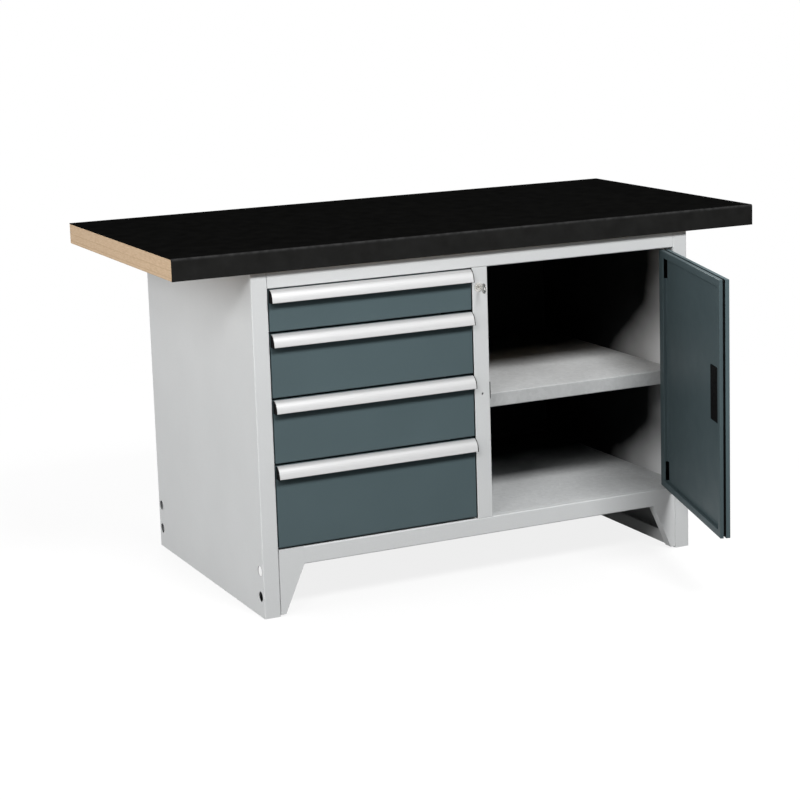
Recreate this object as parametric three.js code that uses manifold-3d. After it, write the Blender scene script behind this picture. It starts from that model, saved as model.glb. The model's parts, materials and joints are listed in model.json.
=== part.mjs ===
// A workbench: a covered wooden worktop on a folded-sheet body with four drawers and a one-door cabinet.
// Millimetres, +Z up, the front faces -Y. The drawers are shut and the door stands open.
// The origin lies on the floor, in the middle of the footprint that the open door makes.
import * as THREE from "three";
import { mergeVertices } from "three/addons/utils/BufferGeometryUtils.js";
import Module from "manifold-3d";

const wasm = await Module();
wasm.setup();

// Worktop
const benchHeight = 840;
const worktopLength = 1500;
const worktopDepth = 750;
const worktopThickness = 50;
const coverThickness = 2;
const coverEdgeRadius = 5;

// Body
const bodyWidth = 1132;
const bodySetback = 12;
const rearOverhang = 24;
const sheet = 1.5;
const bendRadius = 1;
const bendSteps = 3;
const stileWidth = 39;
const stileReturn = 46;
const rearFlange = 39;
const topRailHeight = 38;
const topRailFlange = 50;
const railLip = 30;
const bottomRailHeight = 41;
const bottomRailFlange = 20;
const rearRailFlange = 40;
const floorLip = 22;
const cornerRelief = 1.2;
const flushGap = 1;

// Feet and gussets
const footLipHeight = 30;
const boltHoleDiameter = 24;
const boltHoleInset = 20;
const boltHoleHeights = [48, 108];
const gussetTopWidth = 62;
const gussetToeWidth = 13;
const gussetToeHeight = 4;
const gussetFlange = 25;
const gussetReturn = 12;
const gussetSeam = 0.8;

// Middle post, lock and catch
const postWidth = 40;
const lockDrop = 46;
const lockOffset = -4;
const lockFlangeDiameter = 22;
const lockFlangeThickness = 2;
const lockBarrelDiameter = 18;
const lockBarrelLength = 24;
const lockPlugDiameter = 12;
const lockTailSide = 6;
const lockTailLength = 4;
const lockCamWidth = 10;
const lockCamReach = 15;
const lockCamHeel = 7;
const lockCamThickness = 2;
const lockFit = 0.3;
const keyThickness = 1.8;
const keyBladeWidth = 7;
const keyBladeDepth = 18;
const keyNeckLength = 14;
const keyBowDiameter = 24;
const keyBowHole = 7;
const rivetHoleDiameter = 5;
const catchWidth = 14;
const catchDepth = 20;
const catchHeight = 40;
const catchGap = 0.5;

// Shelf
const shelfRise = 285;
const shelfLip = 34;
const shelfLipReturn = 12;
const shelfSetback = 49;
const shelfRearGap = 4;
const shelfSideGap = 0.5;
const shelfRailLeg = 20;
const shelfRailEndInset = 30;

// Drawers, from the top one down
const drawerPitches = [100, 150, 150, 197];
const frontGap = 2.5;
const lowestFrontGap = 4.5;
const frontDepth = 18;
const gripHeight = 29;
const gripReach = 18;
const gripWall = 2;
const gripLegHeight = 22;
const gripSteps = 10;
const capThickness = 2;
const tubSheet = 1.2;
const tubLength = 600;
const tubSideGap = 16;
const tubFloorRise = 14;
const tubTopClearance = 22;
const railHeight = 24;
const railDepth = 14;
const railLength = 578;
const railSetback = 22;
const railRise = 30;
const runnerRestGap = 0.4;
const runnerHeadGap = 1;
const runnerSideGap = 2;
const runnerWallSetback = 49;

// Door
const doorOpenAngle = 73;
const doorSideGap = 3.5;
const doorEndGap = 4.5;
const doorThickness = 24;
const doorOuterDepth = 10;
const doorInnerDepth = 8;
const doorRimWidth = 16;
const doorHingeRimWidth = 32;
const doorRecess = 9;
const doorFrameInset = 4;
const doorFit = 0.3;
const doorSlotWidth = 10;
const doorSlotHeight = 48;
const hingeEdgeInset = 10;
const hingeFaceInset = 8;
const hingePinDiameter = 6;
const hingePinLength = 30;
const hingeCollarDiameter = 12;
const hingeTopCollar = 2;
const hingeFit = 0.3;
const bushWidth = 20;
const bushFaceGap = 0.3;
const bushDepth = 14;
const bushHeight = 10;
const shellWidth = 64;
const shellHeight = 126;
const shellDepth = 17;
const shellWall = 2;
const shellFlange = 5;
const shellFlangeThickness = 1.5;
const shellEdgeInset = 30;
const shellRise = 24.5;

// Places that follow from the sizes
const worktopBottom = benchHeight - worktopThickness;
const bodyTop = worktopBottom;
const openingTop = bodyTop - topRailHeight;
const openingBottom = openingTop - drawerPitches.reduce((sum, pitch) => sum + pitch);
const openingMiddle = (openingTop + openingBottom) / 2;
const bottomRailBottom = openingBottom - bottomRailHeight;
const lockHeight = openingTop - lockDrop;
const shelfTop = openingBottom + shelfRise;
const halfBody = bodyWidth / 2;
const halfSkin = halfBody - sheet;
const halfOpening = halfBody - stileWidth;
const halfPost = postWidth / 2;
const bodyFront = -worktopDepth / 2 + bodySetback;
const bodyBack = worktopDepth / 2 - rearOverhang;
const backPanelFront = bodyBack - 2 * sheet;
const halfBottomRail = halfOpening - gussetTopWidth;

const finishes = {
  greyPaint: { color: 0xd3d5d5, roughness: 0.5, metalness: 0.05 },
  darkPaint: { color: 0x4f5b61, roughness: 0.5, metalness: 0.05 },
  aluminium: { color: 0xe6e7e8, roughness: 0.4, metalness: 0.5 },
  zinc: { color: 0xb5b9bc, roughness: 0.4, metalness: 0.8 },
  blackPlastic: { color: 0x17181a, roughness: 0.6, metalness: 0 },
  blackCover: { color: 0x121212, roughness: 0.45, metalness: 0 },
  wood: { color: 0xc9a478, roughness: 0.65, metalness: 0 },
  nickel: { color: 0xcfcfcc, roughness: 0.25, metalness: 0.9 },
};

const axisX = new THREE.Vector3(1, 0, 0);
const axisY = new THREE.Vector3(0, 1, 0);
const axisZ = new THREE.Vector3(0, 0, 1);

// A profile drawn in the plane across the named axis, pulled from one place on that axis to another.
function pull(shape, from, to) {
  return new THREE.ExtrudeGeometry(shape, { depth: to - from, bevelEnabled: false });
}

// The shape's coordinates are Y and Z.
function alongX(shape, from, to) {
  const turn = new THREE.Matrix4().makeBasis(axisY, axisZ, axisX).setPosition(from, 0, 0);
  return pull(shape, from, to).applyMatrix4(turn);
}

// The shape's coordinates are X and Z.
function alongY(shape, from, to) {
  const turn = new THREE.Matrix4().makeBasis(axisX, axisZ, axisY.clone().negate()).setPosition(0, to, 0);
  return pull(shape, from, to).applyMatrix4(turn);
}

// The shape's coordinates are X and Y.
function alongZ(shape, from, to) {
  return pull(shape, from, to).translate(0, 0, from);
}

function block(x0, x1, y0, y1, z0, z1) {
  const centre = [(x0 + x1) / 2, (y0 + y1) / 2, (z0 + z1) / 2];
  return new THREE.BoxGeometry(Math.abs(x1 - x0), y1 - y0, z1 - z0).translate(...centre);
}

function rodX(diameter, y, z, x0, x1) {
  const rod = new THREE.CylinderGeometry(diameter / 2, diameter / 2, Math.abs(x1 - x0), 24);
  return rod.rotateZ(Math.PI / 2).translate((x0 + x1) / 2, y, z);
}

function rodY(diameter, x, z, y0, y1) {
  return new THREE.CylinderGeometry(diameter / 2, diameter / 2, y1 - y0, 24).translate(x, (y0 + y1) / 2, z);
}

function rodZ(diameter, x, y, z0, z1) {
  const rod = new THREE.CylinderGeometry(diameter / 2, diameter / 2, z1 - z0, 24);
  return rod.rotateX(Math.PI / 2).translate(x, y, (z0 + z1) / 2);
}

function outline(points) {
  return new THREE.Shape(points.map(([x, y]) => new THREE.Vector2(x, y)));
}

// Outline of a folded sheet. The path is one face of the sheet and the other face lies to its left.
function folded(path, thickness = sheet, innerRadius = bendRadius) {
  const corners = path.map(([x, y]) => new THREE.Vector2(x, y));
  const runs = corners.slice(1).map((corner, i) => corner.clone().sub(corners[i]).normalize());
  const leftOf = (run) => new THREE.Vector2(-run.y, run.x);
  const near = [corners[0]];
  const far = [corners[0].clone().addScaledVector(leftOf(runs[0]), thickness)];
  for (let i = 1; i < runs.length; i++) {
    const bend = Math.atan2(runs[i - 1].cross(runs[i]), runs[i - 1].dot(runs[i]));
    const side = Math.sign(bend);
    const nearRadius = side > 0 ? innerRadius + thickness : innerRadius;
    const setback = nearRadius * Math.tan(Math.abs(bend) / 2);
    const start = corners[i].clone().addScaledVector(runs[i - 1], -setback);
    const centre = start.clone().addScaledVector(leftOf(runs[i - 1]), side * nearRadius);
    for (let step = 0; step <= bendSteps; step++) {
      const spoke = leftOf(runs[i - 1]).multiplyScalar(-side);
      spoke.rotateAround(new THREE.Vector2(), (bend * step) / bendSteps);
      near.push(centre.clone().addScaledVector(spoke, nearRadius));
      far.push(centre.clone().addScaledVector(spoke, nearRadius - side * thickness));
    }
  }
  near.push(corners.at(-1));
  far.push(corners.at(-1).clone().addScaledVector(leftOf(runs.at(-1)), thickness));
  return new THREE.Shape([...near, ...far.reverse()]);
}

function solidOf(geometry) {
  const bare = geometry.clone();
  bare.deleteAttribute("normal");
  bare.deleteAttribute("uv");
  const merged = mergeVertices(bare, 1e-4);
  const vertProperties = merged.attributes.position.array;
  const triVerts = new Uint32Array(merged.index.array);
  return new wasm.Manifold(new wasm.Mesh({ numProp: 3, vertProperties, triVerts }));
}

function geometryOf(solid) {
  const { vertProperties, triVerts } = solid.getMesh();
  const geometry = new THREE.BufferGeometry();
  geometry.setAttribute("position", new THREE.BufferAttribute(vertProperties, 3));
  geometry.setIndex(new THREE.BufferAttribute(triVerts, 1));
  geometry.computeVertexNormals();
  return geometry;
}

function join(...pieces) {
  return geometryOf(pieces.map(solidOf).reduce((whole, piece) => whole.add(piece)));
}

function cut(base, ...tools) {
  return geometryOf(tools.map(solidOf).reduce((left, tool) => left.subtract(tool), solidOf(base)));
}

function addPiece(group, name, geometry, finish) {
  const mesh = new THREE.Mesh(geometry, new THREE.MeshStandardMaterial(finishes[finish]));
  mesh.name = name;
  group.add(mesh);
}

const bench = new THREE.Group();

// Worktop: the cover is bent over the front edge and the core stays bare at both ends.
const worktopFront = -worktopDepth / 2;
const worktopBack = worktopDepth / 2;
const halfTop = worktopLength / 2;
const coverPath = [
  [worktopBack, benchHeight],
  [worktopFront, benchHeight],
  [worktopFront, worktopBottom],
];
const coverInnerRadius = coverEdgeRadius - coverThickness;
const cover = folded(coverPath, coverThickness, coverInnerRadius);
addPiece(bench, "worktop_cover", alongX(cover, -halfTop, halfTop), "blackCover");

const coreFront = worktopFront + coverThickness;
const coreTop = benchHeight - coverThickness;
const core = outline([
  [worktopBack, worktopBottom],
  [worktopBack, coreTop],
  [coreFront + coverInnerRadius, coreTop],
  [coreFront, coreTop - coverInnerRadius],
  [coreFront, worktopBottom],
]);
addPiece(bench, "worktop_core", alongX(core, -halfTop, halfTop), "wood");

// Side panels: one folded sheet with front stile, rear flange and a foot channel along the floor.
for (const [name, side] of [["left", -1], ["right", 1]]) {
  const path = [
    [halfOpening, bodyFront + stileReturn],
    [halfOpening, bodyFront],
    [halfBody, bodyFront],
    [halfBody, bodyBack],
    [halfBody - rearFlange, bodyBack],
  ];
  const skin = alongZ(folded(path), 0, bodyTop);
  const inset = sheet / 2;
  const footFront = bodyFront + inset;
  const footBack = bodyBack - inset;
  const foot = block(halfOpening + inset, halfBody - inset, footFront, footBack, 0, sheet);
  const lipFront = bodyFront + bendRadius + sheet;
  const lip = block(halfOpening, halfOpening + sheet, lipFront, footBack, 0, footLipHeight);
  const holes = [];
  for (const z of boltHoleHeights) {
    for (const y of [bodyFront + boltHoleInset, bodyBack - boltHoleInset]) {
      holes.push(rodX(boltHoleDiameter, y, z, halfBody - 2 * sheet, halfBody + sheet));
    }
  }
  const panel = cut(join(skin, foot, lip), ...holes);
  if (side < 0) {
    panel.scale(-1, 1, 1);
    const corners = panel.index.array;
    for (let i = 0; i < corners.length; i += 3) {
      [corners[i], corners[i + 1]] = [corners[i + 1], corners[i]];
    }
  }
  addPiece(bench, `${name}_side_panel`, panel, "greyPaint");
}

// Back panel, in front of the rear flanges of the side panels.
const halfBack = halfSkin - cornerRelief;
const back = block(-halfBack, halfBack, backPanelFront, backPanelFront + sheet, bottomRailBottom, bodyTop);
addPiece(bench, "back_panel", back, "greyPaint");

// Rails across the front and the back.
const hingeX = halfOpening - doorSideGap - hingeEdgeInset;
const hingeY = bodyFront + hingeFaceInset;
const pinHole = hingePinDiameter + 2 * hingeFit;
const topRailPath = [
  [bodyFront + topRailFlange, bodyTop],
  [bodyFront, bodyTop],
  [bodyFront, openingTop],
  [bodyFront + railLip, openingTop],
];
const topRail = alongX(folded(topRailPath), -halfOpening, halfOpening);
const topRailHole = rodZ(pinHole, hingeX, hingeY, openingTop - sheet, openingTop + 2 * sheet);
addPiece(bench, "top_front_rail", cut(topRail, topRailHole), "greyPaint");

const rearRailPath = [
  [backPanelFront, openingTop],
  [backPanelFront, bodyTop],
  [backPanelFront - rearRailFlange, bodyTop],
];
addPiece(bench, "top_rear_rail", alongX(folded(rearRailPath), -halfSkin, halfSkin), "greyPaint");

const bottomRailPath = [
  [bodyFront + bottomRailFlange, openingBottom],
  [bodyFront, openingBottom],
  [bodyFront, bottomRailBottom],
  [bodyFront + bottomRailFlange, bottomRailBottom],
];
const bottomRail = alongX(folded(bottomRailPath), -halfBottomRail, halfBottomRail);
addPiece(bench, "bottom_front_rail", bottomRail, "greyPaint");

const floorBottom = openingBottom - sheet;
const bottomRearPath = [
  [backPanelFront, bottomRailBottom],
  [backPanelFront, floorBottom],
  [backPanelFront - rearRailFlange, floorBottom],
];
addPiece(bench, "bottom_rear_rail", alongX(folded(bottomRearPath), -halfSkin, halfSkin), "greyPaint");

// Floor of the body: between the stiles in front, from skin to skin behind them.
const floorFront = bodyFront + bottomRailFlange;
const floorPath = [
  [backPanelFront, openingBottom],
  [floorFront, openingBottom],
  [floorFront, openingBottom - floorLip],
];
const floorMiddle = alongX(folded(floorPath), -halfOpening, halfOpening);
const floorWings = block(
  -halfSkin,
  halfSkin,
  bodyFront + stileReturn + flushGap,
  backPanelFront,
  floorBottom,
  openingBottom,
);
addPiece(bench, "body_floor", join(floorMiddle, floorWings), "greyPaint");

// Slanted gussets between the stiles and the bottom rail.
for (const [name, side] of [["left", -1], ["right", 1]]) {
  const seamX = side * (halfOpening - gussetSeam);
  const toeX = halfOpening - gussetToeWidth;
  const slant = new THREE.Vector2(toeX - halfBottomRail, gussetToeHeight - bottomRailBottom).normalize();
  const inward = [-slant.y * sheet, slant.x * sheet];
  const face = outline([
    [seamX, openingBottom],
    [side * halfBottomRail, openingBottom],
    [side * halfBottomRail, bottomRailBottom],
    [side * toeX, gussetToeHeight],
    [seamX, gussetToeHeight],
  ]);
  const edge = outline([
    [side * halfBottomRail, bottomRailBottom],
    [side * toeX, gussetToeHeight],
    [side * (toeX + inward[0]), gussetToeHeight + inward[1]],
    [side * (halfBottomRail + inward[0]), bottomRailBottom + inward[1]],
  ]);
  const ledgeEnds = [side * halfBottomRail, seamX];
  const ledge = block(...ledgeEnds, bodyFront, floorFront, floorBottom, openingBottom);
  const returnEnds = [seamX, seamX - side * sheet];
  const returnTop = floorBottom - bushHeight - flushGap;
  const seamReturn = block(...returnEnds, bodyFront, bodyFront + gussetReturn, gussetToeHeight, returnTop);
  const plate = join(
    alongY(face, bodyFront, bodyFront + sheet),
    alongY(edge, bodyFront, bodyFront + gussetFlange),
    ledge,
    seamReturn,
  );
  const pinPassage = rodZ(pinHole, hingeX, hingeY, floorBottom - sheet, openingBottom + sheet);
  const gusset = side > 0 ? cut(plate, pinPassage) : plate;
  addPiece(bench, `${name}_foot_gusset`, gusset, "greyPaint");
}

// Centre partition: a double wall whose folded front is the middle post.
const partitionPath = [
  [-halfPost, backPanelFront],
  [-halfPost, bodyFront],
  [halfPost, bodyFront],
  [halfPost, backPanelFront],
];
const postDrill = [bodyFront - sheet, bodyFront + 2 * sheet];
const lockHole = rodY(lockBarrelDiameter + 2 * lockFit, lockOffset, lockHeight, ...postDrill);
const rivetHole = rodY(rivetHoleDiameter, 0, openingMiddle, ...postDrill);
const partition = cut(alongZ(folded(partitionPath), openingBottom, openingTop), lockHole, rivetHole);
addPiece(bench, "centre_partition", partition, "greyPaint");

// Runner wall: carries the left drawer rails behind the left stile.
const runnerWallFront = bodyFront + runnerWallSetback;
const runnerWallPath = [
  [-halfSkin, runnerWallFront],
  [-halfOpening, runnerWallFront],
  [-halfOpening, backPanelFront],
];
addPiece(bench, "runner_wall", alongZ(folded(runnerWallPath), openingBottom, openingTop), "greyPaint");

// Lock in the middle post.
const lockFront = bodyFront - lockFlangeThickness;
const barrelBack = bodyFront + lockBarrelLength;
const housing = cut(
  join(
    rodY(lockFlangeDiameter, lockOffset, lockHeight, lockFront, bodyFront),
    rodY(lockBarrelDiameter, lockOffset, lockHeight, lockFront, barrelBack),
  ),
  rodY(lockPlugDiameter + 2 * lockFit, lockOffset, lockHeight, lockFront - 1, barrelBack + 1),
);
addPiece(bench, "lock_housing", housing, "nickel");

const lock = new THREE.Group();
lock.position.set(lockOffset, lockFront, lockHeight);
bench.add(lock);
const plugLength = barrelBack - lockFront + lockFit;
const halfTail = lockTailSide / 2;
const halfKey = keyThickness / 2;
const halfBlade = keyBladeWidth / 2;
const plug = cut(
  join(
    rodY(lockPlugDiameter, 0, 0, 0, plugLength),
    block(-halfTail, halfTail, plugLength - 1, plugLength + lockTailLength, -halfTail, halfTail),
  ),
  block(
    -halfKey - lockFit,
    halfKey + lockFit,
    -1,
    keyBladeDepth + lockFit,
    -halfBlade - lockFit,
    halfBlade + lockFit,
  ),
);
addPiece(lock, "lock_plug", plug, "nickel");

const bowCentre = -keyNeckLength - keyBowDiameter / 2;
const key = cut(
  join(
    block(-halfKey, halfKey, bowCentre, keyBladeDepth, -halfBlade, halfBlade),
    rodX(keyBowDiameter, bowCentre, 0, -halfKey, halfKey),
  ),
  rodX(keyBowHole, bowCentre, 0, -keyThickness, keyThickness),
);
addPiece(lock, "lock_key", key, "nickel");

const camStart = plugLength + lockFit;
const camHalfHole = halfTail + lockFit;
const camEnd = camStart + lockCamThickness;
const cam = cut(
  block(-lockCamWidth / 2, lockCamWidth / 2, camStart, camEnd, -lockCamHeel, lockCamReach),
  block(-camHalfHole, camHalfHole, camStart - 1, camEnd + 1, -camHalfHole, camHalfHole),
);
addPiece(lock, "lock_cam", cam, "zinc");

// Magnetic catch for the door, on the cabinet side of the partition.
const catchFront = bodyFront + doorThickness + catchGap;
const doorCatch = block(
  halfPost,
  halfPost + catchWidth,
  catchFront,
  catchFront + catchDepth,
  openingMiddle - catchHeight / 2,
  openingMiddle + catchHeight / 2,
);
addPiece(bench, "door_catch", doorCatch, "blackPlastic");

// Shelf on two rails in the cabinet.
const shelfFront = bodyFront + shelfSetback;
const shelfBack = backPanelFront - shelfRearGap;
const shelfPath = [
  [shelfBack, shelfTop - shelfLip],
  [shelfBack, shelfTop],
  [shelfFront, shelfTop],
  [shelfFront, shelfTop - shelfLip],
  [shelfFront + shelfLipReturn, shelfTop - shelfLip],
];
const shelf = alongX(folded(shelfPath), halfPost + shelfSideGap, halfSkin - shelfSideGap);
addPiece(bench, "shelf", shelf, "greyPaint");

const shelfSeat = shelfTop - sheet;
const shelfRailFront = shelfFront + shelfRailEndInset;
const shelfRailBack = shelfBack - shelfRailEndInset;
const shelfRailPaths = {
  left: [
    [halfPost + shelfRailLeg, shelfSeat],
    [halfPost, shelfSeat],
    [halfPost, shelfSeat - shelfRailLeg],
  ],
  right: [
    [halfSkin, shelfSeat - shelfRailLeg],
    [halfSkin, shelfSeat],
    [halfSkin - shelfRailLeg, shelfSeat],
  ],
};
for (const side of ["left", "right"]) {
  const shelfRail = alongY(folded(shelfRailPaths[side]), shelfRailFront, shelfRailBack);
  addPiece(bench, `${side}_shelf_rail`, shelfRail, "zinc");
}

// Drawers. Each stands in its own group at the lower edge of its front.
const frontLeft = -halfOpening + frontGap;
const frontRight = -halfPost - frontGap;
const tubLeft = -halfOpening + tubSideGap;
const tubRight = -halfPost - tubSideGap;
const runnerLeft = -halfOpening + sheet + runnerSideGap;
const runnerRight = -halfPost - sheet - runnerSideGap;
const runnerFront = bodyFront + railSetback;
const tubFront = bodyFront + sheet;
const tubBack = tubFront + tubLength;

function gripCurve(reach, height) {
  const points = [];
  for (let step = 0; step <= gripSteps; step++) {
    const angle = (Math.PI / 2) * (1 + step / gripSteps);
    points.push([bodyFront + reach * Math.cos(angle), height * Math.sin(angle)]);
  }
  return points;
}

let drawerTop = openingTop;
drawerPitches.forEach((pitch, index) => {
  const name = `drawer_${index + 1}`;
  const gapBelow = index === drawerPitches.length - 1 ? lowestFrontGap : frontGap;
  const frontHeight = pitch - frontGap - gapBelow;
  const frontBottom = drawerTop - pitch + gapBelow;
  drawerTop -= pitch;

  const railGroup = new THREE.Group();
  railGroup.position.z = frontBottom + railRise;
  bench.add(railGroup);
  const halfRail = railHeight / 2;
  const railPaths = {
    left: [
      [-halfOpening + railDepth, halfRail],
      [-halfOpening, halfRail],
      [-halfOpening, -halfRail],
      [-halfOpening + railDepth, -halfRail],
    ],
    right: [
      [-halfPost - railDepth, -halfRail],
      [-halfPost, -halfRail],
      [-halfPost, halfRail],
      [-halfPost - railDepth, halfRail],
    ],
  };
  for (const side of ["left", "right"]) {
    const rail = alongY(folded(railPaths[side]), runnerFront, runnerFront + railLength);
    addPiece(railGroup, `${name}_${side}_rail`, rail, "zinc");
  }

  const drawer = new THREE.Group();
  drawer.position.z = frontBottom;
  bench.add(drawer);

  const pan = cut(
    block(frontLeft, frontRight, bodyFront, bodyFront + frontDepth, 0, frontHeight),
    block(
      frontLeft + sheet,
      frontRight - sheet,
      bodyFront + sheet,
      bodyFront + frontDepth + sheet,
      sheet,
      frontHeight - sheet,
    ),
  );
  addPiece(drawer, `${name}_front`, pan, "darkPaint");

  const gripGroup = new THREE.Group();
  gripGroup.position.z = frontHeight - gripHeight;
  drawer.add(gripGroup);
  const outerCurve = gripCurve(gripReach, gripHeight);
  const innerCurve = gripCurve(gripReach - gripWall, gripHeight - gripWall).reverse();
  const legFace = bodyFront - gripWall;
  const leg = [
    ...innerCurve.filter(([y]) => y < legFace),
    [legFace, (gripHeight - gripWall) * Math.sqrt(1 - (gripWall / (gripReach - gripWall)) ** 2)],
    [legFace, gripHeight - gripLegHeight],
    [bodyFront, gripHeight - gripLegHeight],
  ];
  const gripLeft = frontLeft + capThickness;
  const gripRight = frontRight - capThickness;
  const grip = alongX(outline([...outerCurve, ...leg]), gripLeft, gripRight);
  addPiece(gripGroup, `${name}_grip`, grip, "aluminium");
  const cap = outline([...outerCurve, [bodyFront, 0]]);
  addPiece(gripGroup, `${name}_left_cap`, alongX(cap, frontLeft, gripLeft), "blackPlastic");
  addPiece(gripGroup, `${name}_right_cap`, alongX(cap, gripRight, frontRight), "blackPlastic");

  const tubTop = frontHeight - tubTopClearance;
  const runnerBottom = railRise - railHeight / 2 + sheet + runnerRestGap;
  const runnerTop = railRise + railHeight / 2 - sheet - runnerHeadGap;
  const runnerBack = runnerFront + railLength;
  const tub = cut(
    join(
      block(tubLeft, tubRight, tubFront, tubBack, tubFloorRise, tubTop),
      block(runnerLeft, runnerRight, runnerFront, runnerBack, runnerBottom, runnerTop),
    ),
    block(
      tubLeft + tubSheet,
      tubRight - tubSheet,
      tubFront + tubSheet,
      tubBack - tubSheet,
      tubFloorRise + tubSheet,
      tubTop + tubSheet,
    ),
  );
  addPiece(drawer, `${name}_tub`, tub, "greyPaint");
});

// Door, drawn shut around its hinge axis and then swung open.
const door = new THREE.Group();
door.position.set(hingeX, hingeY, 0);
door.rotation.z = THREE.MathUtils.degToRad(doorOpenAngle);
bench.add(door);

const doorHingeEdge = hingeEdgeInset;
const doorFreeEdge = halfPost + doorSideGap - hingeX;
const doorFace = -hingeFaceInset;
const doorBottom = openingBottom + doorEndGap;
const doorTop = openingTop - doorEndGap;

// A block held back from the door's four edges, between two depths from its outer face.
function doorLayer(inset, from, to, hingeInset = inset) {
  return block(
    doorFreeEdge + inset,
    doorHingeEdge - hingeInset,
    doorFace + from,
    doorFace + to,
    doorBottom + inset,
    doorTop - inset,
  );
}

const shellLeft = doorFreeEdge + shellEdgeInset;
const shellBottom = openingMiddle + shellRise - shellHeight / 2;

// A block around the grip shell, grown by a margin on its four sides.
function shellLayer(margin, from, to) {
  return block(
    shellLeft - margin,
    shellLeft + shellWidth + margin,
    doorFace + from,
    doorFace + to,
    shellBottom - margin,
    shellBottom + shellHeight + margin,
  );
}

const pinPassages = rodZ(pinHole, 0, 0, doorBottom - sheet, doorTop + sheet);
const shellPassage = shellLayer(doorFit, -sheet, doorThickness + sheet);
const outerPan = cut(
  doorLayer(0, 0, doorOuterDepth),
  doorLayer(sheet, sheet, doorOuterDepth + sheet),
  shellPassage,
  pinPassages,
);
addPiece(door, "door_outer_pan", outerPan, "darkPaint");

const innerStart = doorThickness - doorInnerDepth;
const recessFace = doorThickness - doorRecess;
const hingeRim = doorHingeRimWidth;
const slotEnd = doorRimWidth + 2 * sheet;
const slots = [doorBottom + slotEnd, doorTop - slotEnd - doorSlotHeight].map((low) =>
  block(
    doorHingeEdge - hingeRim - sheet - doorSlotWidth,
    doorHingeEdge - hingeRim + sheet,
    doorFace + recessFace - 2 * sheet,
    doorFace + doorThickness - 2 * sheet,
    low,
    low + doorSlotHeight,
  ),
);
const rim = cut(
  doorLayer(0, innerStart, doorThickness),
  doorLayer(sheet, innerStart - sheet, doorThickness - sheet),
  doorLayer(doorRimWidth, innerStart, doorThickness + sheet, hingeRim),
);
const recess = cut(
  doorLayer(doorRimWidth, recessFace - sheet, doorThickness, hingeRim),
  doorLayer(doorRimWidth + sheet, recessFace, doorThickness + sheet, hingeRim + sheet),
);
const rimSeat = cut(
  doorLayer(doorRimWidth - sheet, doorThickness - sheet, doorThickness, hingeRim - sheet),
  doorLayer(doorRimWidth + sheet, innerStart, doorThickness + sheet, hingeRim + sheet),
);
const innerPanel = cut(join(rim, recess, rimSeat), ...slots, shellPassage);
addPiece(door, "door_inner_panel", innerPanel, "darkPaint");

const edgeFrame = cut(
  doorLayer(doorFrameInset, sheet + doorFit, doorThickness - sheet - doorFit),
  doorLayer(doorRimWidth - doorFit, 0, doorThickness),
  pinPassages,
);
addPiece(door, "door_edge_frame", edgeFrame, "blackPlastic");

const shell = cut(
  join(
    shellLayer(0, -shellFlangeThickness - doorFit, shellDepth),
    shellLayer(shellFlange, -shellFlangeThickness - doorFit, -doorFit),
  ),
  shellLayer(-shellWall, -shellFlangeThickness - doorFit - 1, shellDepth - shellWall),
);
addPiece(door, "door_grip_shell", shell, "blackPlastic");

const bushTop = openingTop + sheet + bushHeight;
const bushBottom = floorBottom - bushHeight;
const topPin = join(
  rodZ(hingePinDiameter, 0, 0, doorTop - hingePinLength, bushTop),
  rodZ(hingeCollarDiameter, 0, 0, doorTop + hingeFit, doorTop + hingeFit + hingeTopCollar),
);
const bottomPin = join(
  rodZ(hingePinDiameter, 0, 0, bushBottom, doorBottom + hingePinLength),
  rodZ(hingeCollarDiameter, 0, 0, openingBottom + hingeFit, doorBottom - hingeFit),
);
addPiece(door, "hinge_pin_top", topPin, "zinc");
addPiece(door, "hinge_pin_bottom", bottomPin, "zinc");

// Bushes for the hinge pins, above the top rail's lip and under the right gusset's ledge.
const bushFront = bodyFront + sheet + bendRadius + bushFaceGap;
for (const [name, low] of [["top", openingTop + sheet], ["bottom", bushBottom]]) {
  const bushEnds = [hingeX - bushWidth / 2, hingeX + bushWidth / 2];
  const bush = cut(
    block(...bushEnds, bushFront, bushFront + bushDepth, low, low + bushHeight),
    rodZ(pinHole, hingeX, hingeY, low - 1, low + bushHeight + 1),
  );
  addPiece(bench, `hinge_bush_${name}`, bush, "zinc");
}

// The middle of the footprint, with the door as it stands, becomes the origin.
const workbench = new THREE.Group();
workbench.name = "workbench";
workbench.add(bench);
workbench.updateMatrixWorld(true);
const footprint = new THREE.Box3().setFromObject(bench, true).getCenter(new THREE.Vector3());
bench.position.set(-footprint.x, -footprint.y, 0);

export default workbench;
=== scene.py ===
import json
import math

import bmesh
import bpy
from mathutils import Matrix, Vector


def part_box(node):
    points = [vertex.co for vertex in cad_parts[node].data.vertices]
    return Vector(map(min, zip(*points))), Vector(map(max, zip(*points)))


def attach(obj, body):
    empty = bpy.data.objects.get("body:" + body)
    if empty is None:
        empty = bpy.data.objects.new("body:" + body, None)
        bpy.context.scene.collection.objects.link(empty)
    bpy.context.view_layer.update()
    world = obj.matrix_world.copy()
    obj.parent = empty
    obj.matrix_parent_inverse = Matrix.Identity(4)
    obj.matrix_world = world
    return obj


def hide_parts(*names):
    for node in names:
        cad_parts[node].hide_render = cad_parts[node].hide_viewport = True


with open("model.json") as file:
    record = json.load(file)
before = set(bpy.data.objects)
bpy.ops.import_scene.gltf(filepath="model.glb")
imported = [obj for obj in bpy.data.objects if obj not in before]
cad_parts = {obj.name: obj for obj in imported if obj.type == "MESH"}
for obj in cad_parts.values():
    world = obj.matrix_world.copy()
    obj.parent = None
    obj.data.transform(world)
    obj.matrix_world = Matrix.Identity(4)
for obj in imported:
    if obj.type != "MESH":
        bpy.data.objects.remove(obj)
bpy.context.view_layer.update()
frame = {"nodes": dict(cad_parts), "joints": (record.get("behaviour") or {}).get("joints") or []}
nodes = frame["nodes"]
scene = bpy.context.scene

# All lengths are in metres

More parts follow.
